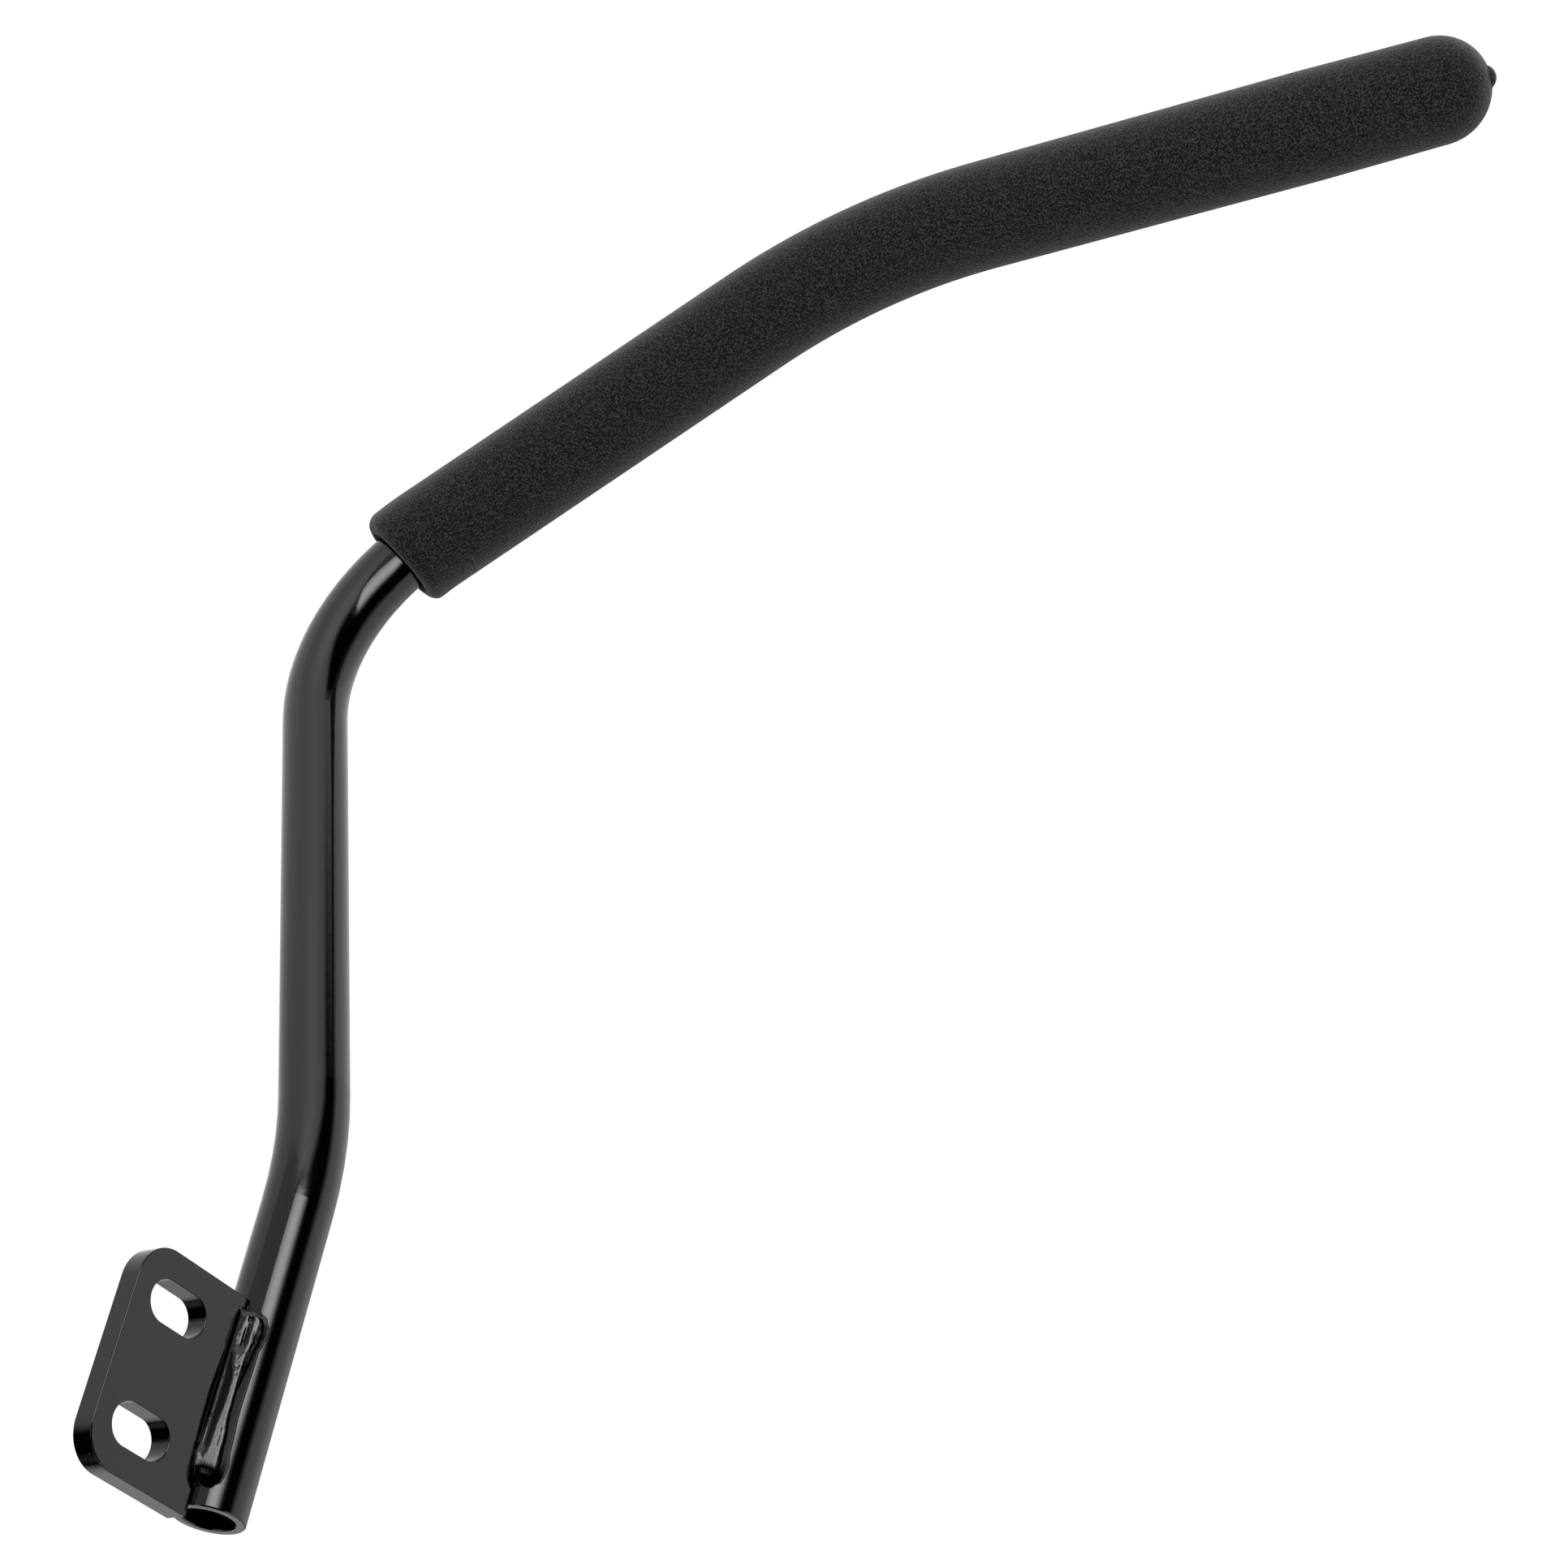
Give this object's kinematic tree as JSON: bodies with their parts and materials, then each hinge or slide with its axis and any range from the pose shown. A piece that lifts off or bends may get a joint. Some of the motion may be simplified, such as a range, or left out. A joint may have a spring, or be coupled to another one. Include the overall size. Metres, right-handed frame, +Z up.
{
  "type": "bed assist rail",
  "caption": "Bent steel handle arm with a slotted mounting plate welded along its lower end and a closed-end foam grip over its upper end.",
  "frame": {"origin": "on the front face of the mounting plate, midway between the two slots", "axes": "+Z up along the upright end of the tube, +X across the plate from its free edge to the tube, -Y out of the plate's front face, the way the handle reaches"},
  "size_m": [0.1386, 0.4172, 0.5506],
  "materials": {
    "black_paint": "gloss",
    "painted_weld": "gloss",
    "grip_foam": "matte, finely pored"
  },
  "bodies": {
    "root": {"handle_tube": "black_paint", "mounting_plate": "black_paint", "front_weld": "painted_weld", "rear_weld": "painted_weld", "foam_grip": "grip_foam"}
  },
  "joints": []
}
